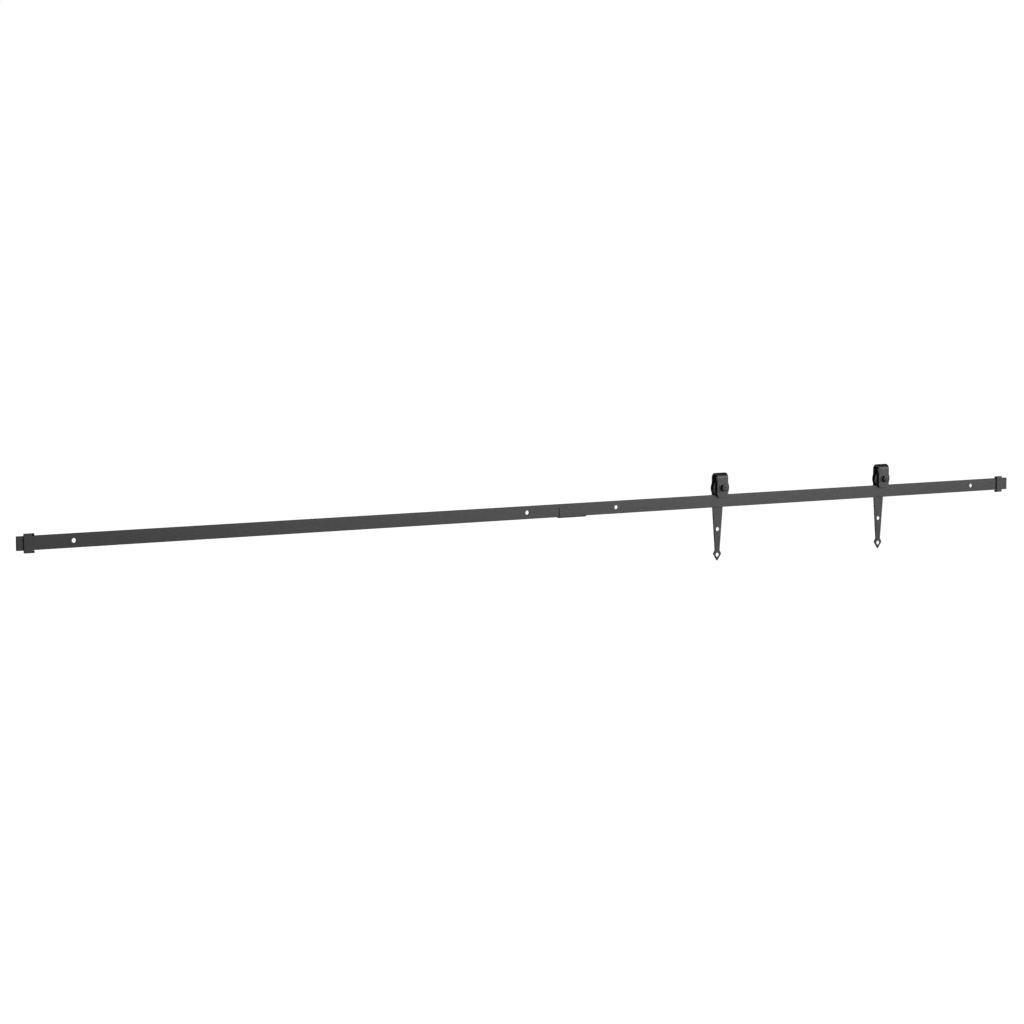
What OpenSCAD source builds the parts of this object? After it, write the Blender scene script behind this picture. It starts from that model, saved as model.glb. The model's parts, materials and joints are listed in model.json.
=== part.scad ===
// Sliding barn door hardware: a two-piece flat rail with a joiner, two end stops and two
// arrow-strap hangers that roll along the rail's top edge on ball-bearing wheels.
//
// Frame: +X runs along the rail, to the right as seen from the room. +Y points at the wall and
// +Z up. The origin is the middle of the rail's wall-side face. Left and right are as seen from
// the room. All sizes are in millimetres.

/* [Rail] */
// Length of the whole rail, which is made of two equal halves
rail_length = 1830; // [1500:10:2400]
// Height of the flat bar
rail_height = 20; // [20:0.5:24]
// Thickness of the flat bar
rail_thickness = 5; // [4.5:0.1:5.5]
// Diameter of the holes that the rail is screwed to the wall through
wall_hole_d = 6.5; // [5:0.1:8]
// Distance from each end of each half to its wall hole
wall_hole_inset = 83.5; // [60:0.5:150]
// Diameter of the countersink on the room side of each wall hole
wall_countersink_d = 13; // [11:0.1:14]

/* [Joiner] */
// Length of the channel that holds the two halves in line
joiner_length = 50; // [40:1:80]
// Thickness of the channel's sheet
joiner_sheet = 1.5; // [1.2:0.1:1.8]
// How far the channel's sides stay below the rail's top edge, so that the wheels clear them
joiner_drop = 5.4; // [5.3:0.1:9]
// Distance from the joint to each of the two joiner screws
joiner_screw_x = 12.5; // [8:0.5:16]

/* [End stops] */
// Length along the rail of the steel plate on the rail's wall side
stop_length = 12; // [9:0.5:14]
// How far the plate stands above and below the rail
stop_rise = 3.6; // [2.5:0.1:5]
// Thickness of the plate
stop_thickness = 3; // [2.8:0.1:4]
// Radius of the plate's corners
stop_corner_r = 1; // [0.5:0.1:3]
// Length along the rail of the rubber pads on the plate's inner side
bumper_length = 3.2; // [1.5:0.1:4]
// Bare rail left outside the left stop
left_stop_setback = 14; // [0:1:35]
// Bare rail left outside the right stop
right_stop_setback = 9; // [0:1:35]

/* [Hangers] */
// Where the left hanger's axle stands along the rail
left_hanger_x = -629.5; // [-860:0.5:-420]
// Where the right hanger's axle stands along the rail
right_hanger_x = -289.3; // [-380:0.1:860]
// Width of the strap where it bends over the wheel
strap_width = 22; // [20:0.5:26]
// Thickness of the strap
strap_thickness = 3; // [2.5:0.1:3]
// Clear gap between the strap's two legs
strap_gap = 10; // [10:0.1:10.4]
// Height of the strap's top above the rail's centre line
strap_top_z = 45.6; // [45:0.1:50]
// Height at which the short leg ends, above the rail's centre line
short_leg_z = 5.7; // [5:0.1:8]
// Radius of the short leg's lower corners
short_leg_corner_r = 6; // [2:0.5:9]
// Height at which the long leg starts to taper
taper_z = 2; // [-5:0.5:5]
// Height of the narrow neck above the arrowhead
neck_z = -81; // [-84:0.5:-76]
// Width of that neck
neck_width = 8.8; // [8:0.1:10]
// Height of the arrowhead's barbs
barb_z = -86.7; // [-88:0.1:-85]
// Width of the arrowhead across its barbs
barb_width = 15.7; // [15:0.1:18]
// Height of the arrowhead's tip
tip_z = -98; // [-104:0.5:-97]
// Diameter of the two holes for the door screws
door_hole_d = 6.5; // [5:0.1:6.5]
// Diameter of their countersinks on the room side
door_countersink_d = 9.5; // [8:0.1:9.5]
// Height of the upper door screw
upper_door_hole_z = -46.5; // [-60:0.5:-30]
// Height of the lower door screw, which goes through the arrowhead
lower_door_hole_z = -88.2; // [-89:0.1:-87.5]

/* [Wheels] */
// Radius of the wheel's flanges
flange_r = 16; // [15:0.1:16]
// Height of the axle above the rail's top edge
axle_height = 11; // [11:0.1:12]
// Width of the wheel
wheel_width = 8; // [7.6:0.1:8.4]
// Width of the groove that the rail runs in
groove_width = 5.6; // [5.6:0.1:6]
// Depth of the narrow step that stops the bearing in the wheel
bearing_step = 1.5; // [1.2:0.1:1.7]
// Gap between the groove and the rail's top edge
rolling_gap = 0.15; // [0.1:0.01:0.2]

/* [Hidden] */
$fn = 96;

// Colours: black powder coat, dark oxide fasteners, bare steel, nylon and rubber
COAT = [0.20, 0.20, 0.21];
OXIDE = [0.13, 0.13, 0.14];
STEEL = [0.62, 0.63, 0.65];
NYLON = [0.09, 0.09, 0.09];
RUBBER = [0.05, 0.05, 0.05];

slip = 0.05;           // gap all round a fastener or a sleeve that does not turn
cut = 1;               // how far a cutting shape runs past a face
half_length = rail_length / 2;
rail_top = rail_height / 2;
mid_y = -rail_thickness / 2;

// Joiner, with M3 countersunk screws
joiner_bend_r = 2;
m3_r = 1.5;
m3_head_r = 3;
m3_length = 5;
m3_socket_r = 1.15;
m3_socket_depth = 1.2;

// End stops, with M4 countersunk screws through the rail from the room side
m4_r = 2;
m4_head_r = 4;
m4_length = 7;
m4_socket_r = 1.44;
m4_socket_depth = 1.6;
stop_tapping_depth = 2.4;
stop_height = rail_height + 2 * stop_rise;

// Axle, with an M6 hexagon bolt, nut and washers
m6_r = 3;
m6_hex_r = 10 / 2 / cos(30);
m6_head = 4;
m6_nut = 5;
m6_length = 25;
hex_chamfer = 0.6;
washer_r = 5.5;
washer_hole_r = 3.2;
washer_thickness = 1.6;
spacer_r = 4;
axle_z = rail_top + axle_height;
room_leg_y = mid_y - strap_gap / 2;     // inner face of the long leg
wall_leg_y = mid_y + strap_gap / 2;     // inner face of the short leg
room_face_y = room_leg_y - strap_thickness;
wall_face_y = wall_leg_y + strap_thickness;
bend_z = strap_top_z - strap_gap / 2 - strap_thickness;

// Wheel
groove_r = axle_height - rolling_gap;
flange_width = (wheel_width - groove_width) / 2;
flange_bevel = 0.4;
wheel_room_y = mid_y - wheel_width / 2;
step_bore_r = 6.2;

// Deep-groove ball bearing of the 696 size: 6 mm bore, 15 mm outside diameter, 5 mm wide
bearing_bore_r = 3.02;
bearing_r = 7.5;
bearing_width = 5;
bearing_room_y = wheel_room_y + bearing_step;
bearing_mid_y = bearing_room_y + bearing_width / 2;
ball_r = 1.19;
ball_count = 8;
ball_circle_r = 5.25;
raceway_r = 1.25;
inner_ring_r = 4.3;
outer_ring_bore_r = 6.2;
cage_inner_r = 4.75;
cage_outer_r = 5.75;
cage_width = 3.2;
cage_pocket_r = 1.24;
shield_thickness = 0.3;
shield_inset = 0.1;
shield_inner_r = 4.45;
shield_outer_r = 6.55;

// ---- Helpers ------------------------------------------------------------------------------

// An outline drawn in X and Z, filling y0 to y1
module plate_xz(y0, y1) {
    translate([0, y1, 0]) rotate([90, 0, 0]) linear_extrude(y1 - y0) children();
}

// An outline drawn in Y and Z, filling x0 to x1
module bar_yz(x0, x1) {
    translate([x0, 0, 0]) rotate([90, 0, 90]) linear_extrude(x1 - x0) children();
}

// Stands a shape that was made along +Z so that it runs along +Y from height y
module along_y(y, x = 0, z = 0) {
    translate([x, y, z]) rotate([-90, 0, 0]) children();
}

// A round bar along Y, from y0 to y1
module rod_y(r, y0, y1, x = 0, z = 0) {
    along_y(y0, x, z) cylinder(r = r, h = y1 - y0);
}

// A flat ring about Y
module ring_y(r_out, r_in, y0, y1) {
    difference() {
        rod_y(r_out, y0, y1);
        rod_y(r_in, y0 - cut, y1 + cut);
    }
}

// A countersunk hole through a plate between y0 and y1, wide on its y0 side
module countersunk_hole(hole_d, sink_d, y0, y1, x, z) {
    sink_depth = (sink_d - hole_d) / 2;
    rod_y(hole_d / 2, y0 - cut, y1 + cut, x, z);
    along_y(y0, x, z) cylinder(r1 = sink_d / 2, r2 = hole_d / 2, h = sink_depth);
}

// A rectangle from the origin, with chosen corners rounded: [lower left, lower right, upper right, upper left]
module rounded_box(w, h, r, corners) {
    centres = [[r, r], [w - r, r], [w - r, h - r], [r, h - r]];
    difference() {
        square([w, h]);
        for (i = [0 : 3]) if (corners[i]) difference() {
            translate([centres[i].x < w / 2 ? -cut : w - r, centres[i].y < h / 2 ? -cut : h - r])
                square(r + cut);
            translate(centres[i]) circle(r);
        }
    }
}

// A hexagon along +Z whose outer corners are turned down at one or both ends
module hex_body(r, h, both_ends) {
    flat_r = r * cos(30);
    intersection() {
        cylinder(r = r, h = h, $fn = 6);
        rotate_extrude() polygon([
            [0, 0],
            [both_ends ? flat_r : r + cut, 0],
            [r + cut, both_ends ? hex_chamfer * (r + cut - flat_r) / (r - flat_r) : 0],
            [r + cut, h - hex_chamfer * (r + cut - flat_r) / (r - flat_r)],
            [flat_r, h],
            [0, h]
        ]);
    }
}

// ---- Rail ---------------------------------------------------------------------------------

// One half of the rail, from the joint outwards along +X
module rail_half(stop_setback) {
    color(COAT) difference() {
        translate([0, -rail_thickness, -rail_top])
            cube([half_length, rail_thickness, rail_height]);
        for (x = [wall_hole_inset, half_length - wall_hole_inset])
            countersunk_hole(wall_hole_d, wall_countersink_d, -rail_thickness, 0, x, 0);
        countersunk_hole(
            2 * (m4_r + slip), 2 * (m4_head_r + slip), -rail_thickness, 0,
            half_length - stop_setback - stop_length / 2, 0
        );
        rod_y(m3_r + slip, -rail_thickness - cut, cut, joiner_screw_x, 0);
    }
}

module rail_left() { mirror([1, 0, 0]) rail_half(left_stop_setback); }
module rail_right() { rail_half(right_stop_setback); }

// The channel's cross-section, open at the top
module joiner_section() {
    width = rail_thickness + 2 * (slip + joiner_sheet);
    foot = slip + joiner_sheet;
    height = rail_height - joiner_drop + foot;
    translate([-rail_thickness - foot, -rail_top - foot]) difference() {
        rounded_box(width, height, joiner_bend_r, [true, true, false, false]);
        translate([joiner_sheet, joiner_sheet]) square([width - 2 * joiner_sheet, height]);
    }
}

module rail_joiner() {
    face_y = -rail_thickness - slip - joiner_sheet;
    color(COAT) difference() {
        bar_yz(-joiner_length / 2, joiner_length / 2) joiner_section();
        for (x = [-joiner_screw_x, joiner_screw_x])
            along_y(face_y, x) cylinder(
                r1 = m3_head_r + slip, r2 = m3_r + slip, h = joiner_sheet
            );
        for (x = [-joiner_screw_x, joiner_screw_x])
            rod_y(m3_r + slip, face_y - cut, -rail_thickness / 2, x, 0);
    }
}

// A countersunk screw along +Y, its head's face at y = 0
module countersunk_screw(r, head_r, length, socket_r, socket_depth) {
    difference() {
        union() {
            along_y(0) cylinder(r1 = head_r, r2 = r, h = head_r - r);
            rod_y(r, 0, length);
        }
        along_y(-cut) cylinder(r = socket_r, h = socket_depth + cut, $fn = 6);
    }
}

module joiner_screws() {
    face_y = -rail_thickness - slip - joiner_sheet;
    color(OXIDE) for (x = [-joiner_screw_x, joiner_screw_x]) translate([x, face_y, 0])
        countersunk_screw(m3_r, m3_head_r, m3_length, m3_socket_r, m3_socket_depth);
}

// ---- End stops ----------------------------------------------------------------------------
// Drawn for the left end: x = 0 is the plate's outer edge, and +X points to the hangers.

module stop_block() {
    color(COAT) difference() {
        plate_xz(0, stop_thickness) translate([0, -stop_height / 2])
            rounded_box(stop_length, stop_height, stop_corner_r, [true, true, true, true]);
        rod_y(m4_r + slip, -cut, stop_tapping_depth, stop_length / 2, 0);
    }
}

module stop_screw() {
    color(OXIDE) translate([stop_length / 2, -rail_thickness, 0])
        countersunk_screw(m4_r, m4_head_r, m4_length, m4_socket_r, m4_socket_depth);
}

// Two rubber pads, above and below the rail, so that the stop fits either end
module stop_bumper() {
    color(RUBBER) for (side = [0, 1]) mirror([0, 0, side])
        translate([stop_length, 0, rail_top + slip])
            cube([bumper_length, stop_thickness, stop_rise - slip]);
}

module at_left_stop() { translate([left_stop_setback - half_length, 0, 0]) children(); }
module at_right_stop() {
    mirror([1, 0, 0]) translate([right_stop_setback - half_length, 0, 0]) children();
}

// ---- Hangers ------------------------------------------------------------------------------
// Drawn with the axle at x = 0.

// The long leg's outline, from the bend down to the tip of the arrowhead
module long_leg_outline() {
    side = [
        [strap_width / 2, bend_z],
        [strap_width / 2, taper_z],
        [neck_width / 2, neck_z],
        [barb_width / 2, barb_z]
    ];
    polygon(concat(side, [[0, tip_z]], [for (i = [3 : -1 : 0]) [-side[i].x, side[i].y]]));
}

module short_leg_outline() {
    translate([-strap_width / 2, short_leg_z]) rounded_box(
        strap_width, bend_z - short_leg_z, short_leg_corner_r, [true, true, false, false]
    );
}

// The bend's section in Y and Z, a half ring over the wheel
module bend_section() {
    outer_r = strap_gap / 2 + strap_thickness;
    translate([mid_y, bend_z]) intersection() {
        difference() {
            circle(outer_r);
            circle(strap_gap / 2);
        }
        translate([-outer_r, 0]) square([2 * outer_r, outer_r]);
    }
}

module strap() {
    color(COAT) difference() {
        union() {
            plate_xz(room_face_y, room_leg_y) long_leg_outline();
            plate_xz(wall_leg_y, wall_face_y) short_leg_outline();
            bar_yz(-strap_width / 2, strap_width / 2) bend_section();
        }
        rod_y(washer_hole_r, room_face_y - cut, wall_face_y + cut, 0, axle_z);
        for (z = [upper_door_hole_z, lower_door_hole_z])
            countersunk_hole(door_hole_d, door_countersink_d, room_face_y, room_leg_y, 0, z);
    }
}

// The bolt goes in from the room, so its head shows on the room side and the nut on the wall side
module axle_bolt() {
    under_head_y = room_face_y - washer_thickness;
    color(OXIDE) translate([0, 0, axle_z]) union() {
        along_y(under_head_y) mirror([0, 0, 1]) hex_body(m6_hex_r, m6_head, false);
        rod_y(m6_r, under_head_y - m6_head / 2, under_head_y + m6_length);
    }
}

module axle_nut() {
    color(OXIDE) translate([0, 0, axle_z]) along_y(wall_face_y + washer_thickness) difference() {
        hex_body(m6_hex_r, m6_nut, true);
        translate([0, 0, -cut]) cylinder(r = m6_r + slip, h = m6_nut + 2 * cut);
    }
}

module axle_washers() {
    color(OXIDE) translate([0, 0, axle_z]) {
        ring_y(washer_r, washer_hole_r, room_face_y - washer_thickness, room_face_y);
        ring_y(washer_r, washer_hole_r, wall_face_y, wall_face_y + washer_thickness);
    }
}

// Two bushes that hold the bearing's inner ring in the middle of the gap
module axle_spacers() {
    color(STEEL) translate([0, 0, axle_z]) {
        ring_y(spacer_r, m6_r + slip, room_leg_y, bearing_room_y);
        ring_y(spacer_r, m6_r + slip, bearing_room_y + bearing_width, wall_leg_y);
    }
}

// ---- Wheels and bearings ------------------------------------------------------------------

// Turned section of the wheel: radius across, width up, with the bearing seat and its step
module wheel_section() {
    seat_r = bearing_r + slip / 2;
    polygon([
        [step_bore_r, 0],
        [flange_r - flange_bevel, 0],
        [flange_r, flange_bevel],
        [flange_r, flange_width - flange_bevel / 2],
        [flange_r - flange_bevel / 2, flange_width],
        [groove_r, flange_width],
        [groove_r, wheel_width - flange_width],
        [flange_r - flange_bevel / 2, wheel_width - flange_width],
        [flange_r, wheel_width - flange_width + flange_bevel / 2],
        [flange_r, wheel_width - flange_bevel],
        [flange_r - flange_bevel, wheel_width],
        [seat_r, wheel_width],
        [seat_r, bearing_step],
        [step_bore_r, bearing_step]
    ]);
}

module wheel() {
    color(NYLON) along_y(wheel_room_y, 0, axle_z) rotate_extrude() wheel_section();
}

// Cuts the ball track into a ring: a torus about the axle
module raceway() {
    rotate_extrude() translate([ball_circle_r, 0]) circle(raceway_r);
}

module in_bearing() {
    along_y(bearing_mid_y, 0, axle_z) children();
}

module bearing_outer_ring() {
    shield_seat_r = shield_outer_r + slip;
    seat_depth = shield_thickness + shield_inset;
    color(STEEL) in_bearing() difference() {
        cylinder(r = bearing_r, h = bearing_width, center = true);
        cylinder(r = outer_ring_bore_r, h = bearing_width + 2 * cut, center = true);
        for (side = [0, 1]) mirror([0, 0, side])
            translate([0, 0, bearing_width / 2 - seat_depth])
                cylinder(r = shield_seat_r, h = seat_depth + cut);
        raceway();
    }
}

module bearing_inner_ring() {
    color(STEEL) in_bearing() difference() {
        cylinder(r = inner_ring_r, h = bearing_width, center = true);
        cylinder(r = bearing_bore_r, h = bearing_width + 2 * cut, center = true);
        raceway();
    }
}

// Places a child at every ball of the bearing
module at_balls() {
    for (i = [0 : ball_count - 1]) rotate(i * 360 / ball_count)
        translate([ball_circle_r, 0, 0]) children();
}

module bearing_balls() {
    color(STEEL) in_bearing() at_balls() sphere(ball_r);
}

module bearing_cage() {
    color(STEEL) in_bearing() difference() {
        cylinder(r = cage_outer_r, h = cage_width, center = true);
        cylinder(r = cage_inner_r, h = cage_width + 2 * cut, center = true);
        at_balls() rotate([0, 90, 0]) cylinder(r = cage_pocket_r, h = 2 * cut, center = true);
    }
}

module bearing_shields() {
    color(STEEL) in_bearing() for (side = [0, 1]) mirror([0, 0, side])
        translate([0, 0, bearing_width / 2 - shield_inset - shield_thickness]) difference() {
            cylinder(r = shield_outer_r, h = shield_thickness);
            translate([0, 0, -cut]) cylinder(r = shield_inner_r, h = shield_thickness + 2 * cut);
        }
}

module at_left_hanger() { translate([left_hanger_x, 0, 0]) children(); }
module at_right_hanger() { translate([right_hanger_x, 0, 0]) children(); }

// ---- Nodes --------------------------------------------------------------------------------

rail_left();
rail_right();
rail_joiner();
joiner_screws();

at_left_stop() stop_block();  // left_stop
at_left_stop() stop_bumper();  // left_stop_bumper
at_left_stop() stop_screw();  // left_stop_screw
at_right_stop() stop_block();  // right_stop
at_right_stop() stop_bumper();  // right_stop_bumper
at_right_stop() stop_screw();  // right_stop_screw

at_left_hanger() strap();  // left_strap
at_left_hanger() axle_bolt();  // left_axle_bolt
at_left_hanger() axle_nut();  // left_axle_nut
at_left_hanger() axle_washers();  // left_axle_washers
at_left_hanger() axle_spacers();  // left_axle_spacers
at_left_hanger() wheel();  // left_wheel
at_left_hanger() bearing_outer_ring();  // left_bearing_outer_ring
at_left_hanger() bearing_inner_ring();  // left_bearing_inner_ring
at_left_hanger() bearing_balls();  // left_bearing_balls
at_left_hanger() bearing_cage();  // left_bearing_cage
at_left_hanger() bearing_shields();  // left_bearing_shields

at_right_hanger() strap();  // right_strap
at_right_hanger() axle_bolt();  // right_axle_bolt
at_right_hanger() axle_nut();  // right_axle_nut
at_right_hanger() axle_washers();  // right_axle_washers
at_right_hanger() axle_spacers();  // right_axle_spacers
at_right_hanger() wheel();  // right_wheel
at_right_hanger() bearing_outer_ring();  // right_bearing_outer_ring
at_right_hanger() bearing_inner_ring();  // right_bearing_inner_ring
at_right_hanger() bearing_balls();  // right_bearing_balls
at_right_hanger() bearing_cage();  // right_bearing_cage
at_right_hanger() bearing_shields();  // right_bearing_shields
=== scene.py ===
"""Looks of the sliding barn door hardware: finished meshes, materials, light and camera.

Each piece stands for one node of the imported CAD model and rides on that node's body. +X runs along
the rail, +Y points at the wall and +Z up. Shapes are drawn in millimetres and scaled to metres when
they become pieces. A hanger's pieces are drawn with the middle of its axle at the origin.
"""

import json
import math

import bmesh
import bpy
from mathutils import Matrix, Vector


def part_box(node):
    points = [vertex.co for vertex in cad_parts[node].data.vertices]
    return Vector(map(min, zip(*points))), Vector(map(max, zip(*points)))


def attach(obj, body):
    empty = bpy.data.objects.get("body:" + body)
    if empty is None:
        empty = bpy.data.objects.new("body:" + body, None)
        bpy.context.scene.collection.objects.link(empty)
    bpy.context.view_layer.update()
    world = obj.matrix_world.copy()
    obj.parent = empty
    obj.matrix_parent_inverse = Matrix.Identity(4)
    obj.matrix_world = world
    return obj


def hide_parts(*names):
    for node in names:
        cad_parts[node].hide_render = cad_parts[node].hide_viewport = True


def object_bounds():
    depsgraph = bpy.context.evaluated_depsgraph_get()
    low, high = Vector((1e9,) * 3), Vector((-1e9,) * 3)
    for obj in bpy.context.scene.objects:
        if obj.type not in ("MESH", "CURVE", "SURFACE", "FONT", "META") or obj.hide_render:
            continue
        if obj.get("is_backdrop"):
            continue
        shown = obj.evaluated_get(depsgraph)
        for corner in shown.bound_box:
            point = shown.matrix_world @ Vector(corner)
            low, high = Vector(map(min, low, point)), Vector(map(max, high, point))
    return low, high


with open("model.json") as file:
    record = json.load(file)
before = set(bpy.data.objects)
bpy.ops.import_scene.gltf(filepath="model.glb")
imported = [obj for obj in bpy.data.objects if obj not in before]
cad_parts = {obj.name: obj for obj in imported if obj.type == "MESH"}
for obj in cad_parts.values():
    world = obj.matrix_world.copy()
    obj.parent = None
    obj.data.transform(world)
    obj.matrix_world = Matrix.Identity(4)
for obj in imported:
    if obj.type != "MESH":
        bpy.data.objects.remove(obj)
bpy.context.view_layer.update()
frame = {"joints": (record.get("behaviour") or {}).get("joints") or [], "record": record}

MM = 0.001
SEGMENTS = 72          # sides of a turned shape
SMOOTH_ANGLE = 38      # edges sharper than this stay crisp, in degrees

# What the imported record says: each node's body and material, where the axles are, and the wall holes
RECORD = frame["record"]
BODY_OF = {node: body for body, nodes in RECORD["behaviour"]["bodies"].items() for node in nodes}
SLOT_OF = {part["node"]: part["material_slot"] for part in RECORD["subparts"]}
AXLE = {
    joint["child"].split("_")[0]: Vector(joint["pos_m"])
    for joint in frame["joints"]
    if joint["name"].endswith("wheel_spin")
}
WALL_HOLE_X = [
    mount["dims"]["spacing_x_mm"] / 2 for mount in RECORD["mounts"] if "wall" in mount["name"]
]
HOLE_R = RECORD["mounts"][0]["dims"]["hole_r_mm"]
DOOR_MOUNT = next(mount for mount in RECORD["mounts"] if mount["name"] == "left_door_screws")
SIDES = ("left", "right")

# Sizes in millimetres that the frame doesn't give
COAT_EDGE = 0.5        # rounding of the bars' edges
WALL_SINK_R = 6.5      # countersinks of the rail's wall holes
DOOR_SINK_R = 4.75     # countersinks of the straps' door holes
JOINER_SCREW_X = 12.5
JOINER_SCREWS = (-JOINER_SCREW_X, JOINER_SCREW_X)
JOINER_SHEET = 1.5
JOINER_BEND_R = 2.0
M3_R = 1.5
M3_PITCH = 0.5
M3_HEAD_R = 2.9
M3_SOCKET_R = 1.15
M4_R = 2.0
M4_PITCH = 0.7
M4_HEAD_R = 3.95
M4_SOCKET_R = 1.44
M6_R = 3.0
M6_PITCH = 1.0
AXLE_HOLE_R = 3.2      # in the straps and the washers
STRAP_THICKNESS = 3.0
SLIP = 0.05            # gap all round a fastener
OVER = 1.0             # how far a cutting shape runs past what it cuts


def box_mm(node):
    """Lowest and highest corner of a CAD node, in millimetres."""
    low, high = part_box(node)
    return low / MM, high / MM


def box_about_axle(side, node):
    """The same for a hanger's node, measured from the middle of its axle."""
    low, high = box_mm(f"{side}_{node}")
    return low - AXLE[side] / MM, high - AXLE[side] / MM


# ---- Outlines and solids ---------------------------------------------------------------------


def arc(centre, radius, start, end, steps):
    """Points on an arc, with its angles in degrees."""
    points = []
    for i in range(steps + 1):
        angle = math.radians(start + (end - start) * i / steps)
        points.append(Vector(centre) + radius * Vector((math.cos(angle), math.sin(angle))))
    return points


def circle(radius, y, segments):
    """Points on a circle about Y."""
    angles = [2 * math.pi * k / segments for k in range(segments)]
    return [(radius * math.cos(a), y, radius * math.sin(a)) for a in angles]


def rectangle(x0, y0, x1, y1):
    """Corners of a rectangle, counter-clockwise."""
    return [(x0, y0), (x1, y0), (x1, y1), (x0, y1)]


def hexagon(radius):
    """Corners of a hexagon about the origin."""
    angles = [math.pi / 3 * k for k in range(6)]
    return [Vector((radius * math.cos(a), radius * math.sin(a))) for a in angles]


def rounded(corners, radii, steps=6):
    """A closed outline with its corners rounded, by one radius or by one for each corner."""
    points = []
    for i, corner in enumerate(corners):
        radius = radii[i] if isinstance(radii, list) else radii
        here = Vector(corner)
        back = (Vector(corners[i - 1]) - here).normalized()
        onward = (Vector(corners[(i + 1) % len(corners)]) - here).normalized()
        half = back.angle(onward) / 2
        if radius <= 0 or half > math.radians(89):
            points.append(here)
            continue
        centre = here + (back + onward).normalized() * radius / math.sin(half)
        spoke = here + back * radius / math.tan(half) - centre
        sweep = math.copysign(math.pi - 2 * half, onward.cross(back))
        for k in range(steps + 1):
            points.append(centre + Matrix.Rotation(sweep * k / steps, 2) @ spoke)
    return points


def inset(points, depth):
    """A closed counter-clockwise outline moved inwards by depth."""
    inner = []
    for i, here in enumerate(points):
        into = (here - points[i - 1]).normalized()
        out = (points[(i + 1) % len(points)] - here).normalized()
        across = Vector((-into.y - out.y, into.x + out.x)) / (1 + into.dot(out))
        inner.append(here + across * depth)
    return inner


def skin(bm, rings, worn=()):
    """Joins rings of vertices with quads. Faces between the rings in worn are marked as edges."""
    mark = bm.faces.layers.float.get("edge") or bm.faces.layers.float.new("edge")
    for i in range(len(rings) - 1):
        for k in range(len(rings[i])):
            after = (k + 1) % len(rings[i])
            quad = [rings[i][k], rings[i][after], rings[i + 1][after], rings[i + 1][k]]
            bm.faces.new(quad)[mark] = 1.0 if i in worn else 0.0


def plate(outline, thickness, edge, steps=3):
    """A flat plate: its outline is in X and Y, its thickness is centred on Z, its edges are round."""
    bm = bmesh.new()
    profile = []
    for k in range(steps + 1):
        turn = math.pi / 2 * k / steps
        profile.append((edge * (1 - math.sin(turn)), edge * (1 - math.cos(turn)) - thickness / 2))
    profile += [(depth, -height) for depth, height in reversed(profile)]
    rings = [[bm.verts.new((*p, height)) for p in inset(outline, depth)] for depth, height in profile]
    skin(bm, rings, worn=[*range(steps), *range(steps + 1, 2 * steps + 1)])
    bm.faces.new(rings[0])
    bm.faces.new(rings[-1])
    return bm


def turned(profile, segments=SEGMENTS):
    """A solid turned about Y from a closed profile of (radius, y) points."""
    bm = bmesh.new()
    rings = [[bm.verts.new(p) for p in circle(radius, y, segments)] for radius, y in profile]
    skin(bm, [*rings, rings[0]])
    bmesh.ops.remove_doubles(bm, verts=bm.verts, dist=1e-5)
    return bm


def stood_up(bm, y=0.0):
    """Turns a plate so that its outline lies in X and Z, and its thickness is centred on y."""
    for vert in bm.verts:
        vert.co = Vector((vert.co.x, y + vert.co.z, vert.co.y))
    return bm


def standing_plate(low, high, corner_r, corner_steps, edge):
    """A plate that fills a box, with its wide faces towards the wall and the room."""
    outline = rounded(rectangle(low.x, low.z, high.x, high.z), corner_r, corner_steps)
    return stood_up(plate(outline, high.y - low.y, edge), (low.y + high.y) / 2)


def moved(bm, x=0.0, z=0.0):
    bmesh.ops.translate(bm, verts=bm.verts, vec=(x, 0, z))
    return bm


def split(bm, axis, value):
    """Adds edges all round a shape where x, y or z has a value. A hole across them stays clean."""
    normal = Vector([float(axis == name) for name in "xyz"])
    everything = bm.verts[:] + bm.edges[:] + bm.faces[:]
    bmesh.ops.bisect_plane(bm, geom=everything, plane_co=normal * value, plane_no=normal)
    return bm


def joined(*parts):
    """One mesh of several separate solids."""
    whole = bmesh.new()
    for part in parts:
        scratch = bpy.data.meshes.new("scratch")
        part.to_mesh(scratch)
        whole.from_mesh(scratch)
        bpy.data.meshes.remove(scratch)
        part.free()
    return whole


def scratch_object(bm):
    """A throwaway object for a boolean."""
    bmesh.ops.recalc_face_normals(bm, faces=bm.faces)
    mesh = bpy.data.meshes.new("scratch")
    bm.to_mesh(mesh)
    bm.free()
    obj = bpy.data.objects.new("scratch", mesh)
    bpy.context.scene.collection.objects.link(obj)
    return obj


def combined(bm, tool, operation="DIFFERENCE"):
    """A boolean of two solids, which are used up."""
    base, other = scratch_object(bm), scratch_object(tool)
    modifier = base.modifiers.new("cut", "BOOLEAN")
    modifier.operation = operation
    modifier.solver = "EXACT"
    modifier.object = other
    result = bmesh.new()
    result.from_object(base, bpy.context.evaluated_depsgraph_get())
    for obj in (base, other):
        mesh = obj.data
        bpy.data.objects.remove(obj)
        bpy.data.meshes.remove(mesh)
    return result


def drill(radius, y0, y1, x=0.0, z=0.0, sink=0.0, edge=0.3):
    """A tool for a hole between two faces: a countersink or a broken edge at y0, the latter at y1."""
    wide = max(sink, radius + edge)
    profile = [
        (0, y0 - OVER),
        (wide + OVER, y0 - OVER),
        (radius, y0 + wide - radius),
        (radius, y1 - edge),
        (radius + edge + OVER, y1 + OVER),
        (0, y1 + OVER),
    ]
    return moved(turned(profile, 48), x=x, z=z)


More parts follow.
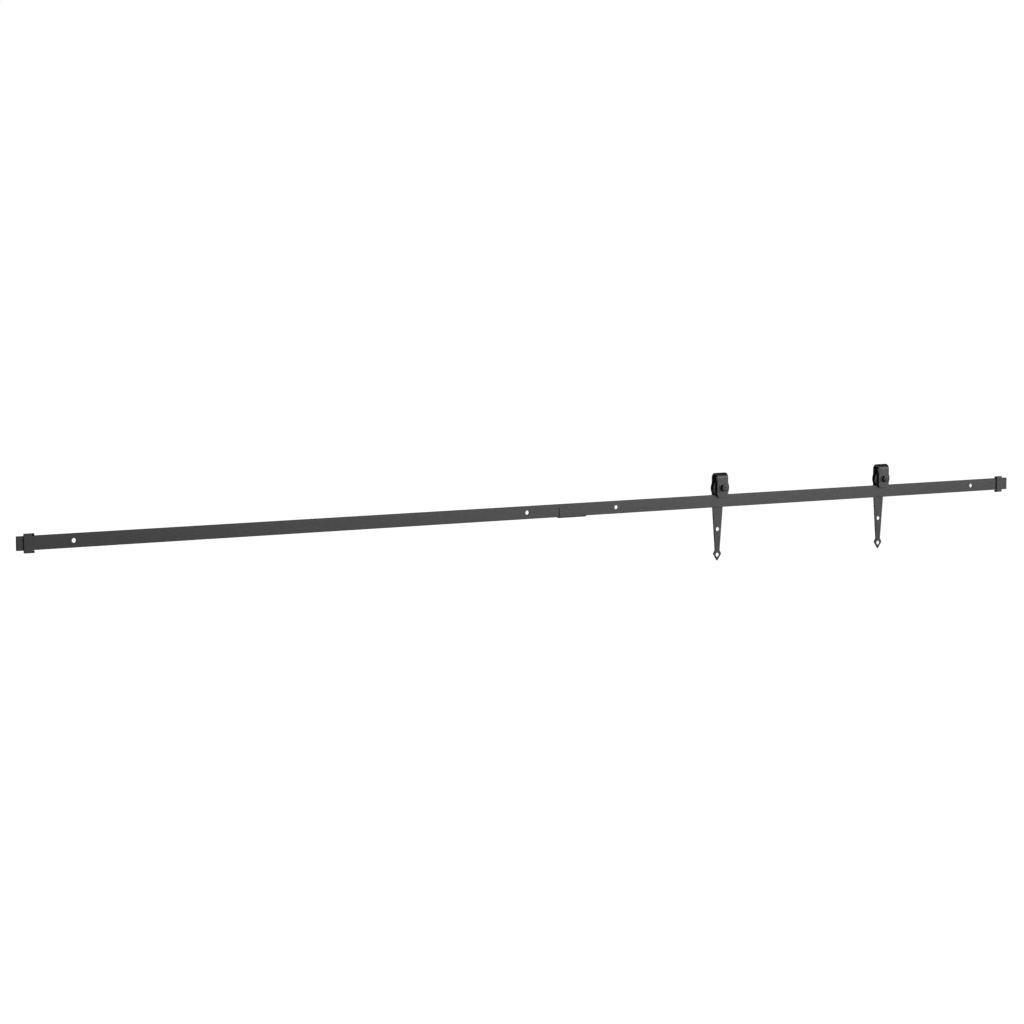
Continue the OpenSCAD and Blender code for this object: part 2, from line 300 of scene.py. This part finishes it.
def threaded_rod(radius, pitch, y0, y1, thread_from, segments):
    """A rod along Y with a screw thread from thread_from to its chamfered end at y1."""
    depth = 0.55 * pitch
    chamfer = depth
    step = pitch / 6       # between rings of vertices
    heights = [y0, thread_from - step]
    count = round((y1 - chamfer - thread_from) / step)
    heights += [thread_from + (y1 - chamfer - thread_from) * k / count for k in range(count + 1)]
    bm = bmesh.new()
    rings = []
    for y in heights:
        fade = min(max((y - thread_from) / pitch, 0), 1)
        ring = []
        for k in range(segments):
            turn = k / segments
            wave = abs(2 * ((y / pitch - turn) % 1) - 1)
            angle = 2 * math.pi * turn
            r = radius - depth * fade * wave
            ring.append(bm.verts.new((r * math.cos(angle), y, r * math.sin(angle))))
        rings.append(ring)
    rings.append([bm.verts.new(p) for p in circle(radius - depth, y1, segments)])
    skin(bm, rings)
    bm.faces.new(rings[0])
    bm.faces.new(rings[-1])
    return bm


def hex_block(radius, y0, y1, both_ends):
    """A hexagon along Y whose corners are turned down at y0, or at both ends."""
    block = stood_up(plate(hexagon(radius), y1 - y0, edge=0.05, steps=1), (y0 + y1) / 2)
    inside_flats = 0.15
    flat_r = radius * math.cos(math.pi / 6) - inside_flats
    wide = radius + OVER
    rise = (wide - flat_r) * math.tan(math.radians(30))
    low = [(0, y0), (flat_r, y0), (wide, y0 + rise)]
    high = [(wide, y1 + OVER), (0, y1 + OVER)]
    if both_ends:
        high = [(wide, y1 - rise), (flat_r, y1), (0, y1)]
    return combined(block, turned(low + high), "INTERSECT")


def countersunk_screw(radius, head_r, pitch, y0, y1, socket_r, socket_depth, segments):
    """A screw along Y with a hexagon socket in the face of its head, at y0."""
    rim = 0.05
    inside_head = y0 + 1
    under_head = y0 + head_r - radius
    bare = 0.3             # unthreaded shank under the head
    head = turned([
        (0, y0),
        (head_r - 2 * rim, y0),
        (head_r - rim, y0 + rim),
        (radius, under_head),
        (0, under_head),
    ], 48)
    shank = threaded_rod(radius, pitch, inside_head, y1, under_head + bare, segments)
    well = plate(hexagon(socket_r), socket_depth + OVER, edge=0.01, steps=1)
    screw = combined(head, shank, "UNION")
    return combined(screw, stood_up(well, y0 + (socket_depth - OVER) / 2))


# ---- Bent sheet ------------------------------------------------------------------------------


def on_route(route, start, heading, distance):
    """Where a route of (length, turn) stretches is after a distance, and the way to its left."""
    place, way = Vector(start), Vector(heading)
    for i, (length, turn) in enumerate(route):
        part = distance if i == len(route) - 1 else min(distance, length)
        if turn:
            radius = length / turn
            right = Vector((way.y, -way.x))
            angle = part / radius
            spin = Matrix.Rotation(-angle, 2)
            centre = place + right * radius
            place, way = centre + spin @ (place - centre), spin @ way
        else:
            place = place + way * part
        distance -= length
        if distance <= 0:
            break
    return place, Vector((-way.y, way.x))


def bent(bm, route, start, heading, rows=14):
    """Bends a plate that was drawn flat, with its length on Y, along a route in Y and Z."""
    along = 0
    for length, turn in route:
        split(bm, "y", along)
        if turn:
            for k in range(1, rows):
                split(bm, "y", along + length * k / rows)
        along += length
    for vert in bm.verts:
        place, left = on_route(route, start, heading, vert.co.y)
        place = place + left * vert.co.z
        vert.co = Vector((vert.co.x, place.x, place.y))
    return bm


# ---- Materials -------------------------------------------------------------------------------


class Look:
    """A Principled material whose colour, roughness and bump come from procedural textures."""

    def __init__(self, name):
        self.material = bpy.data.materials.new(name)
        self.material.use_nodes = True
        self.tree = self.material.node_tree
        self.shader = self.tree.nodes["Principled BSDF"]
        self.place = self.tree.nodes.new("ShaderNodeTexCoord").outputs["Object"]
        self.normal = None

    def node(self, kind, **inputs):
        """A new node. Its inputs are given by name, with _ for a space."""
        made = self.tree.nodes.new(kind)
        for name, value in inputs.items():
            self.feed(made.inputs[name.replace("_", " ")], value)
        return made

    def feed(self, socket_in, value):
        """Links a socket to an input, or sets the input to a constant."""
        if isinstance(value, bpy.types.NodeSocket):
            self.tree.links.new(value, socket_in)
        else:
            socket_in.default_value = value

    def noise(self, size_mm, detail=3.0):
        """Noise whose features are about size_mm across."""
        scale = 1 / (size_mm * MM)
        made = self.node(
            "ShaderNodeTexNoise", Vector=self.place, Scale=scale, Detail=detail, Roughness=0.55
        )
        return made.outputs["Fac"]

    def rings(self, size_mm, distortion=0.6):
        """Fine turning marks round the Y axis."""
        scale = 1 / (size_mm * MM) / (2 * math.pi)
        made = self.node(
            "ShaderNodeTexWave",
            Vector=self.place,
            Scale=scale,
            Distortion=distortion,
            Detail=2.0,
            Detail_Scale=2.0,
        )
        made.wave_type = "RINGS"
        made.rings_direction = "Y"
        return made.outputs["Fac"]

    def spread(self, value, low, high, from_low=0.35, from_high=0.65):
        """Maps a texture's usual range to low..high."""
        made = self.tree.nodes.new("ShaderNodeMapRange")
        self.feed(made.inputs["Value"], value)
        made.inputs["From Min"].default_value = from_low
        made.inputs["From Max"].default_value = from_high
        made.inputs["To Min"].default_value = low
        made.inputs["To Max"].default_value = high
        return made.outputs["Result"]

    def times(self, a, b):
        made = self.tree.nodes.new("ShaderNodeMath")
        made.operation = "MULTIPLY"
        self.feed(made.inputs[0], a)
        self.feed(made.inputs[1], b)
        return made.outputs["Value"]

    def mix(self, share, a, b):
        made = self.tree.nodes.new("ShaderNodeMix")
        made.data_type = "RGBA"
        self.feed(made.inputs["Factor"], share)
        colours = [s for s in made.inputs if s.type == "RGBA"]
        self.feed(colours[0], a)
        self.feed(colours[1], b)
        return next(s for s in made.outputs if s.type == "RGBA")

    def worn(self, size_mm, share):
        """A patchy mask on the rounded edges."""
        mark = self.tree.nodes.new("ShaderNodeAttribute")
        mark.attribute_name = "edge"
        return self.times(mark.outputs["Fac"], self.spread(self.noise(size_mm), 0, share))

    def bump(self, height, depth_mm, strength):
        """Adds a layer of bump on top of those before it."""
        made = self.node("ShaderNodeBump", Height=height, Strength=strength, Distance=depth_mm * MM)
        if self.normal:
            self.feed(made.inputs["Normal"], self.normal)
        self.normal = made.outputs["Normal"]
        self.feed(self.shader.inputs["Normal"], self.normal)

    def finish(self, colour, roughness, **plain):
        self.feed(self.shader.inputs["Base Color"], colour)
        self.feed(self.shader.inputs["Roughness"], roughness)
        for name, value in plain.items():
            self.shader.inputs[name.replace("_", " ")].default_value = value
        return self.material


def grey(value, warm=0.0):
    return (value * (1 + warm), value, value * (1 - warm), 1)


def powder_coat():
    """Satin black powder coat: a fine orange-peel texture, a little thinner along the edges."""
    look = Look("powder_coat")
    colour = look.mix(look.spread(look.noise(9), 0, 1), grey(0.017), grey(0.023))
    colour = look.mix(look.worn(4, 0.55), colour, grey(0.045))
    look.bump(look.noise(0.45, 2.0), 0.012, 0.7)
    look.bump(look.noise(2.5, 1.0), 0.02, 0.25)
    return look.finish(colour, look.spread(look.noise(3.5), 0.40, 0.50))


def black_oxide():
    """Oiled black oxide on steel, rubbed lighter along its edges."""
    look = Look("black_oxide")
    colour = look.mix(look.spread(look.noise(2.5), 0, 1), grey(0.024), grey(0.036, 0.05))
    colour = look.mix(look.worn(1.2, 0.6), colour, grey(0.16))
    look.bump(look.noise(0.25, 3.0), 0.006, 0.5)
    return look.finish(colour, look.spread(look.noise(1.2), 0.34, 0.48), Metallic=0.3)


def bright_steel():
    """Ground bearing steel with fine turning marks."""
    look = Look("bright_steel")
    marks = look.rings(0.16)
    colour = look.mix(look.spread(marks, 0, 1, 0.1, 0.9), grey(0.44), grey(0.56))
    colour = look.mix(look.spread(look.noise(1.6), 0, 0.35), colour, grey(0.36, 0.04))
    look.bump(marks, 0.002, 0.25)
    return look.finish(colour, look.spread(look.noise(0.7), 0.24, 0.36), Metallic=1.0)


def polished_steel():
    """Polished balls, with a faint haze."""
    look = Look("polished_steel")
    colour = look.mix(look.spread(look.noise(0.8), 0, 1), grey(0.68), grey(0.76))
    return look.finish(colour, look.spread(look.noise(0.5), 0.05, 0.12), Metallic=1.0)


def nylon():
    """Turned black nylon: faint tool marks and a soft sheen."""
    look = Look("nylon")
    marks = look.rings(0.35, 1.0)
    colour = look.mix(look.spread(look.noise(4), 0, 1), grey(0.009), grey(0.015))
    look.bump(marks, 0.006, 0.4)
    look.bump(look.noise(0.6, 2.0), 0.008, 0.4)
    return look.finish(colour, look.spread(look.noise(2), 0.44, 0.58))


def rubber():
    """Matt black rubber with a moulded grain."""
    look = Look("rubber")
    colour = look.mix(look.spread(look.noise(1.5), 0, 1), grey(0.003), grey(0.006))
    look.bump(look.noise(0.22, 2.0), 0.012, 0.8)
    roughness = look.spread(look.noise(1), 0.80, 0.94)
    return look.finish(colour, roughness, Specular_IOR_Level=0.12)


MATERIALS = {
    "powder_coat": powder_coat(),
    "black_oxide": black_oxide(),
    "bright_steel": bright_steel(),
    "polished_steel": polished_steel(),
    "nylon": nylon(),
    "rubber": rubber(),
}


def piece(node, bm, place=(0, 0, 0)):
    """Makes a finished piece of a shape in millimetres, which stands for a CAD node."""
    bmesh.ops.remove_doubles(bm, verts=bm.verts, dist=1e-4)
    bmesh.ops.dissolve_degenerate(bm, edges=bm.edges, dist=1e-5)
    bmesh.ops.recalc_face_normals(bm, faces=bm.faces)
    bmesh.ops.scale(bm, verts=bm.verts, vec=(MM, MM, MM))
    mesh = bpy.data.meshes.new(f"{node}_piece")
    bm.to_mesh(mesh)
    bm.free()
    mesh.materials.append(MATERIALS[SLOT_OF[node]])
    mesh.shade_smooth()
    mesh.set_sharp_from_angle(angle=math.radians(SMOOTH_ANGLE))
    obj = bpy.data.objects.new(f"{node}_piece", mesh)
    obj.location = place
    bpy.context.scene.collection.objects.link(obj)
    obj.modifiers.new("even shading", "WEIGHTED_NORMAL").keep_sharp = True
    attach(obj, BODY_OF[node])
    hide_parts(node)


# ---- Rail, joiner and end stops --------------------------------------------------------------


def rail_half(side):
    """Half of the rail, with two wall holes, a stop screw's hole and a joiner screw's hole."""
    node = f"rail_{side}"
    low, high = box_mm(node)
    bar = standing_plate(low, high, corner_r=0.6, corner_steps=3, edge=COAT_EDGE)
    sign = 1 if side == "right" else -1
    wall_x = [sign * x for x in WALL_HOLE_X]
    joiner_x = sign * JOINER_SCREW_X
    stop_x = sum(corner.x for corner in box_mm(f"{side}_stop_screw")) / 2
    margin = 8             # past the widest countersink
    for x in [*wall_x, joiner_x, stop_x]:
        for beside in (-margin, 0, margin):
            split(bar, "x", x + beside)
    for x in wall_x:
        bar = combined(bar, drill(HOLE_R, low.y, high.y, x, sink=WALL_SINK_R))
    edge = 0.2
    bar = combined(bar, drill(M4_R + SLIP, low.y, high.y, stop_x, sink=M4_HEAD_R + SLIP, edge=edge))
    piece(node, combined(bar, drill(M3_R + SLIP, low.y, high.y, joiner_x, edge=edge)))


def rail_joiner():
    """A channel under the joint, bent from a flat sheet."""
    low, high = box_mm("rail_joiner")
    middle_r = JOINER_BEND_R - JOINER_SHEET / 2
    bend = math.pi / 2 * middle_r
    side = high.z - low.z - JOINER_BEND_R
    foot = high.y - low.y - 2 * JOINER_BEND_R
    route = [(side, 0), (bend, math.pi / 2), (foot, 0), (bend, math.pi / 2), (side, 0)]
    length = sum(part for part, _ in route)
    outline = rounded(rectangle(low.x, 0, high.x, length), radii=1.0)
    sheet = plate(outline, JOINER_SHEET, edge=0.25, steps=2)
    start = (high.y - JOINER_SHEET / 2, high.z)
    channel = bent(sheet, route, start, (0, -1), rows=7)
    for x in JOINER_SCREWS:
        split(channel, "x", x)
    for x in JOINER_SCREWS:
        hole = drill(M3_R + SLIP, low.y, low.y + JOINER_SHEET, x, sink=M3_HEAD_R + SLIP, edge=0.05)
        channel = combined(channel, hole)
    piece("rail_joiner", channel)


def joiner_screws():
    low, high = box_mm("joiner_screws")
    screws = []
    for x in JOINER_SCREWS:
        screw = countersunk_screw(
            M3_R, M3_HEAD_R, M3_PITCH, low.y, high.y, M3_SOCKET_R, socket_depth=1.2, segments=30
        )
        screws.append(moved(screw, x=x))
    piece("joiner_screws", joined(*screws))


def stop_plate(side):
    """A plate on the rail's wall side, with a blind tapped hole from the rail."""
    node = f"{side}_stop"
    low, high = box_mm(node)
    block = standing_plate(low, high, corner_r=1.0, corner_steps=6, edge=0.4)
    middle_x = (low.x + high.x) / 2
    split(block, "x", middle_x)
    tapped_r = M4_R + SLIP
    tapped_depth = 2.4
    tapped = turned([
        (0, low.y - OVER),
        (tapped_r, low.y - OVER),
        (tapped_r, low.y + tapped_depth - 0.3),
        (0, low.y + tapped_depth),
    ], 48)
    piece(node, combined(block, moved(tapped, x=middle_x)))


def stop_screw(side):
    node = f"{side}_stop_screw"
    low, high = box_mm(node)
    screw = countersunk_screw(
        M4_R, M4_HEAD_R, M4_PITCH, low.y, high.y, M4_SOCKET_R, socket_depth=1.6, segments=36
    )
    piece(node, moved(screw, x=(low.x + high.x) / 2))


def stop_bumper(side):
    """Two pads, above and below the rail."""
    node = f"{side}_stop_bumper"
    low, high = box_mm(node)
    inner_z = box_mm(f"rail_{side}")[1].z + SLIP
    height = high.z - inner_z
    outline = rounded(rectangle(low.x, low.y, high.x, high.y), radii=0.5, steps=5)
    pads = [
        moved(plate(outline, height, edge=0.35, steps=4), z=middle_z)
        for middle_z in (-inner_z - height / 2, inner_z + height / 2)
    ]
    piece(node, joined(*pads))


# ---- Hangers ---------------------------------------------------------------------------------


def strap(side):
    """An arrow strap: cut flat from its tip upwards, bent over the wheel, then drilled."""
    low, high = box_about_axle(side, "strap")
    tip_z = low.z
    outer_r = high.y
    middle_r = outer_r - STRAP_THICKNESS / 2
    bend_z = high.z - outer_r
    short_leg = 31.9
    route = [(bend_z - tip_z, 0), (math.pi * middle_r, math.pi), (short_leg, 0)]
    length = sum(part for part, _ in route)
    half = high.x
    barb = (7.85, 11.3)    # each point is half a width, and a height above the tip
    neck = (4.4, 17)
    taper_start = (half, 100)
    upwards = [barb, neck, taper_start, (half, length)]
    upward_radii = [0.6, 1.5, 10, 6]
    corners = [(0, 0), *upwards, *((-x, v) for x, v in reversed(upwards))]
    radii = [0.45, *upward_radii, *reversed(upward_radii)]
    sheet = split(plate(rounded(corners, radii, steps=7), STRAP_THICKNESS, edge=0.4), "x", 0)
    shape = bent(sheet, route, (low.y + STRAP_THICKNESS / 2, tip_z), (0, 1))
    inner = outer_r - STRAP_THICKNESS
    shape = combined(shape, drill(AXLE_HOLE_R, -outer_r, -inner))
    shape = combined(shape, drill(AXLE_HOLE_R, inner, outer_r))
    door_z = (DOOR_MOUNT["pos_m"][2] - AXLE["left"].z) / MM
    spacing = DOOR_MOUNT["dims"]["spacing_y_mm"]
    for z in (door_z - spacing / 2, door_z + spacing / 2):
        shape = combined(shape, drill(HOLE_R, -outer_r, -inner, z=z, sink=DOOR_SINK_R))
    piece(f"{side}_strap", shape, AXLE[side])


def axle_bolt(side):
    """A hexagon bolt with a thin round face under its head."""
    low, high = box_about_axle(side, "axle_bolt")
    head_height = 4.0
    face_height = 0.3
    face_r = 4.7
    rim = 0.05
    thread_length = 8.5
    under = low.y + head_height
    head = hex_block(high.x, low.y, under - face_height, False)
    inside = low.y + 1     # the face's solid and the shank start inside the head
    corners = [(0, inside), (face_r, inside), (face_r, under - rim), (face_r - rim, under), (0, under)]
    head = combined(head, turned(corners), "UNION")
    shank = threaded_rod(M6_R, M6_PITCH, under - 2, high.y, high.y - thread_length, 48)
    piece(f"{side}_axle_bolt", combined(head, shank, "UNION"), AXLE[side])


def axle_nut(side):
    low, high = box_about_axle(side, "axle_nut")
    nut = split(hex_block(high.x, low.y, high.y, True), "x", 0)
    nut = combined(nut, drill(M6_R + SLIP, low.y, high.y, edge=0.35))
    piece(f"{side}_axle_nut", nut, AXLE[side])


def ring_profile(outer, inner, y0, y1, edge):
    """A ring's profile with rounded corners."""
    return rounded(rectangle(inner, y0, outer, y1), edge, 4)


def axle_washers(side):
    low, high = box_about_axle(side, "axle_washers")
    thickness = 1.6
    washers = [
        turned(ring_profile(high.x, AXLE_HOLE_R, y, y + thickness, 0.3))
        for y in (low.y, high.y - thickness)
    ]
    piece(f"{side}_axle_washers", joined(*washers), AXLE[side])


def axle_spacers(side):
    low, high = box_about_axle(side, "axle_spacers")
    bearing_low, bearing_high = box_about_axle(side, "bearing_outer_ring")
    bore = M6_R + SLIP
    spacers = [
        turned(ring_profile(high.x, bore, y0, y1, 0.2))
        for y0, y1 in ((low.y, bearing_low.y), (bearing_high.y, high.y))
    ]
    piece(f"{side}_axle_spacers", joined(*spacers), AXLE[side])


def wheel(side):
    """A grooved wheel with a seat for the bearing, and a step that the bearing stops against."""
    low, high = box_about_axle(side, "wheel")
    bearing_low, bearing_high = box_about_axle(side, "bearing_outer_ring")
    rail_top = box_mm(f"rail_{side}")[1].z
    rolling_gap = 0.15
    flange_r = high.x
    groove_r = AXLE[side].z / MM - rail_top - rolling_gap
    flange = 1.2
    seat_r = bearing_high.x + SLIP / 2
    step_r = 6.2
    corners = [
        (step_r, low.y),
        (flange_r, low.y),
        (flange_r, low.y + flange),
        (groove_r, low.y + flange),
        (groove_r, high.y - flange),
        (flange_r, high.y - flange),
        (flange_r, high.y),
        (seat_r, high.y),
        (seat_r, bearing_low.y),
        (step_r, bearing_low.y),
    ]
    radii = [0.25, 0.35, 0.25, 0.3, 0.3, 0.25, 0.35, 0.2, 0.05, 0.2]
    piece(f"{side}_wheel", turned(rounded(corners, radii, 4), 128), AXLE[side])


BALL_COUNT = 8
BALL_R = 1.19
BALL_CIRCLE_R = 5.25   # of the balls' centres
RACEWAY_R = 1.25


def raceway(radius, outward):
    """The part of the ball track that cuts into a ring whose face is at radius."""
    reach = math.degrees(math.acos((radius - BALL_CIRCLE_R) / RACEWAY_R))
    if outward:
        return arc((BALL_CIRCLE_R, 0), RACEWAY_R, reach, -reach, 10)
    return arc((BALL_CIRCLE_R, 0), RACEWAY_R, reach, 360 - reach, 10)


def bearing_outer_ring(side):
    """A ring with the ball track in its bore, and a seat for a shield at each end."""
    low, high = box_about_axle(side, "bearing_outer_ring")
    bore = 6.2
    seat_r = 6.6
    seat = 0.4
    upper = [(seat_r, high.y - seat), (bore, high.y - seat)]
    lower = [(bore, low.y + seat), (seat_r, low.y + seat)]
    inside = [Vector(p) for p in [*upper, *raceway(bore, True), *lower]]
    profile = ring_profile(high.x, seat_r, low.y, high.y, 0.2) + inside
    piece(f"{side}_bearing_outer_ring", turned(profile, 96), AXLE[side])


def bearing_inner_ring(side):
    low, high = box_about_axle(side, "bearing_inner_ring")
    outer = 4.3
    bore = 3.02
    edge = 0.15
    top = [(outer, high.y - edge), (outer - edge, high.y), (bore + edge, high.y), (bore, high.y - edge)]
    bottom = [(bore, low.y + edge), (bore + edge, low.y), (outer - edge, low.y), (outer, low.y + edge)]
    profile = [Vector(p) for p in [*top, *bottom, *reversed(raceway(outer, False))]]
    piece(f"{side}_bearing_inner_ring", turned(profile, 96), AXLE[side])


def bearing_shields(side):
    """Two thin plates, with a shallow pressed step."""
    low, high = box_about_axle(side, "bearing_shields")
    thickness = 0.3
    inner = 4.45
    step = 0.12
    shields = []
    for face, way in ((low.y, 1), (high.y, -1)):
        front = [(high.x, 0), (6.0, 0), (5.8, step), (4.9, step), (4.75, 0), (inner, 0)]
        back = [(r, y + thickness) for r, y in reversed(front)]
        shields.append(turned([(r, face + way * y) for r, y in front + back], 96))
    piece(f"{side}_bearing_shields", joined(*shields), AXLE[side])


def ball_turns():
    """The turn about the axle that each ball stands at."""
    return [Matrix.Rotation(2 * math.pi * i / BALL_COUNT, 3, "Y") for i in range(BALL_COUNT)]


def bearing_balls(side):
    """Balls skinned ring by ring. Blender's own sphere has its faces in a new order on each run."""
    balls = bmesh.new()
    bands, segments = 16, 24
    for turn in ball_turns():
        centre = turn @ Vector((BALL_CIRCLE_R, 0, 0))
        rings = []
        for radius, height in arc((0, 0), BALL_R, -90, 90, bands):
            points = [centre + Vector((x, z, y)) for x, y, z in circle(radius, height, segments)]
            rings.append([balls.verts.new(point) for point in points])
        skin(balls, rings)
    piece(f"{side}_bearing_balls", balls, AXLE[side])


def bearing_cage(side):
    """A ring about the balls' centres, with a round pocket for each ball."""
    low, high = box_about_axle(side, "bearing_cage")
    half_thickness = 0.5
    outer = BALL_CIRCLE_R + half_thickness
    inner = BALL_CIRCLE_R - half_thickness
    cage = turned(ring_profile(outer, inner, low.y, high.y, 0.12), 96)
    pocket_r = BALL_R + SLIP
    tool_from, tool_to = 4, 7    # past both faces of the cage
    pockets = []
    for turn in ball_turns():
        pocket = turned(rectangle(0, tool_from, pocket_r, tool_to), 32)
        lie = turn @ Matrix.Rotation(-math.pi / 2, 3, "Z")
        bmesh.ops.rotate(pocket, verts=pocket.verts, matrix=lie)
        pockets.append(pocket)
    piece(f"{side}_bearing_cage", combined(cage, joined(*pockets)), AXLE[side])


def all_pieces():
    for side in SIDES:
        rail_half(side)
    rail_joiner()
    joiner_screws()
    for side in SIDES:
        stop_plate(side)
        stop_screw(side)
        stop_bumper(side)
        strap(side)
        axle_bolt(side)
        axle_nut(side)
        axle_washers(side)
        axle_spacers(side)
        wheel(side)
        bearing_outer_ring(side)
        bearing_inner_ring(side)
        bearing_shields(side)
        bearing_balls(side)
        bearing_cage(side)


# ---- Floor, light and camera -----------------------------------------------------------------


def floor():
    """A plain pale floor, well below the rail. It glows white, so that no shadow shows on it."""
    size = 40
    drop = 0.9
    mesh = bpy.data.meshes.new("floor")
    bm = bmesh.new()
    bmesh.ops.create_grid(bm, x_segments=1, y_segments=1, size=size)
    bm.to_mesh(mesh)
    bm.free()
    look = Look("floor")
    colour = look.mix(look.spread(look.noise(400), 0, 1), grey(0.90), grey(0.92))
    mesh.materials.append(look.finish(colour, 0.9, Emission_Color=grey(1.0), Emission_Strength=1.0))
    obj = bpy.data.objects.new("floor", mesh)
    obj.location.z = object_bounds()[0].z - drop
    obj.visible_diffuse = False
    obj.visible_glossy = False
    obj.visible_shadow = False
    bpy.context.scene.collection.objects.link(obj)
    obj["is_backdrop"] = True


def pieces_of(name, nodes):
    """A collection of the pieces that stand for some nodes, for the lights to refer to."""
    made = bpy.data.collections.new(name)
    for node in nodes:
        made.objects.link(bpy.data.objects[f"{node}_piece"])
    return made


def soft_light(name, place, aim, size, power):
    """A rectangular softbox at a place, turned towards another. Only what it lights is seen."""
    data = bpy.data.lights.new(name, "AREA")
    data.shape = "RECTANGLE"
    data.size, data.size_y = size
    data.energy = power
    obj = bpy.data.objects.new(name, data)
    obj.visible_camera = False
    obj.location = place
    obj.rotation_mode = "QUATERNION"
    obj.rotation_quaternion = (Vector(aim) - Vector(place)).to_track_quat("-Z", "Y")
    bpy.context.scene.collection.objects.link(obj)
    return obj


def oblique_softbox():
    """The main light. The hangers shade their own insides from it, but throw no shadow on the rail."""
    softbox = {"place": (-2.6, 2.6, 0.75), "aim": (-0.2, 0, 0), "size": (1.8, 1.6), "power": 64}
    track = [node for node, body in BODY_OF.items() if body == "track"]
    hangers = [node for node in BODY_OF if node not in track]
    shades = [f"{side}_{kind}" for side in SIDES for kind in ("strap", "wheel")]
    on_track = soft_light("oblique_on_track", **softbox)
    on_track.data.use_shadow = False
    on_track.light_linking.receiver_collection = pieces_of("track_pieces", track)
    on_hangers = soft_light("oblique_on_hangers", **softbox)
    on_hangers.light_linking.receiver_collection = pieces_of("hanger_pieces", hangers)
    on_hangers.light_linking.blocker_collection = pieces_of("shades", shades)


def studio():
    """White behind everything, a dim room, and softboxes on the wall side and the room side.

    The one on the room side hangs low, so that its light doesn't glance off the rail's top edge.
    """
    dim = 0.06
    world = bpy.data.worlds.new("studio")
    world.use_nodes = True
    tree = world.node_tree
    seen = tree.nodes.new("ShaderNodeBackground")
    seen.inputs["Color"].default_value = grey(1.0)
    lit = tree.nodes["Background"]
    lit.inputs["Color"].default_value = grey(1.0)
    lit.inputs["Strength"].default_value = dim
    rays = tree.nodes.new("ShaderNodeLightPath")
    mix = tree.nodes.new("ShaderNodeMixShader")
    tree.links.new(rays.outputs["Is Camera Ray"], mix.inputs["Fac"])
    tree.links.new(lit.outputs["Background"], mix.inputs[1])
    tree.links.new(seen.outputs["Background"], mix.inputs[2])
    tree.links.new(mix.outputs["Shader"], tree.nodes["World Output"].inputs["Surface"])
    bpy.context.scene.world = world
    oblique_softbox()
    soft_light("front", place=(-1.2, 3.4, 0.5), aim=(-0.2, 0, 0), size=(2.6, 1.8), power=42)
    soft_light("far_end", place=(2.9, 2.6, -0.1), aim=(0.2, 0, 0), size=(1.8, 1.4), power=30)
    soft_light("room_side", place=(-0.4, -3.2, -0.75), aim=(-0.1, 0, 0), size=(1.4, 1.2), power=80)
    bpy.context.scene.view_settings.view_transform = "Standard"


def camera():
    """The photo's viewpoint, off the rail's right end on the wall side."""
    data = bpy.data.cameras.new("camera")
    data.sensor_width = 36
    data.lens = 91.1
    obj = bpy.data.objects.new("camera", data)
    obj.location = (2.250, 3.3235, 0.378)
    turn, tilt = math.radians(32.757), math.radians(5.427)
    flat = math.cos(tilt)
    way = Vector((-math.sin(turn) * flat, -math.cos(turn) * flat, -math.sin(tilt)))
    obj.rotation_mode = "QUATERNION"
    obj.rotation_quaternion = way.to_track_quat("-Z", "Y")
    bpy.context.scene.collection.objects.link(obj)
    bpy.context.scene.camera = obj


camera()
all_pieces()
floor()
studio()
